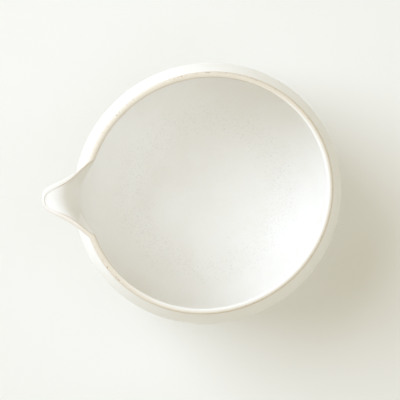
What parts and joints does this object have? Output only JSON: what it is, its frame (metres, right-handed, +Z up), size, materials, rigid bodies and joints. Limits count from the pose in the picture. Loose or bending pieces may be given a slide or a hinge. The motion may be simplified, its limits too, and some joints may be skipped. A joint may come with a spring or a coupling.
{
  "type": "spouted bowl",
  "caption": "Round-bellied glazed stoneware pouring bowl with an open V-shaped lip spout and a low foot ring, for whisking, mixing and pouring tea.",
  "frame": {"origin": "middle of the object's footprint box, on the surface that it stands on", "axes": "+Z up, -X along the spout, +X away from it, +Y to the right of someone who looks from the spout to the bowl"},
  "size_m": [0.1456, 0.1308, 0.075],
  "materials": {
    "glaze": "satin warm white glaze, thin and beige over the lip",
    "bare_clay": "unglazed fine buff stoneware, matt"
  },
  "bodies": {
    "root": {"bowl_body": "glaze", "spout": "glaze", "foot_ring": "bare_clay"}
  },
  "joints": []
}
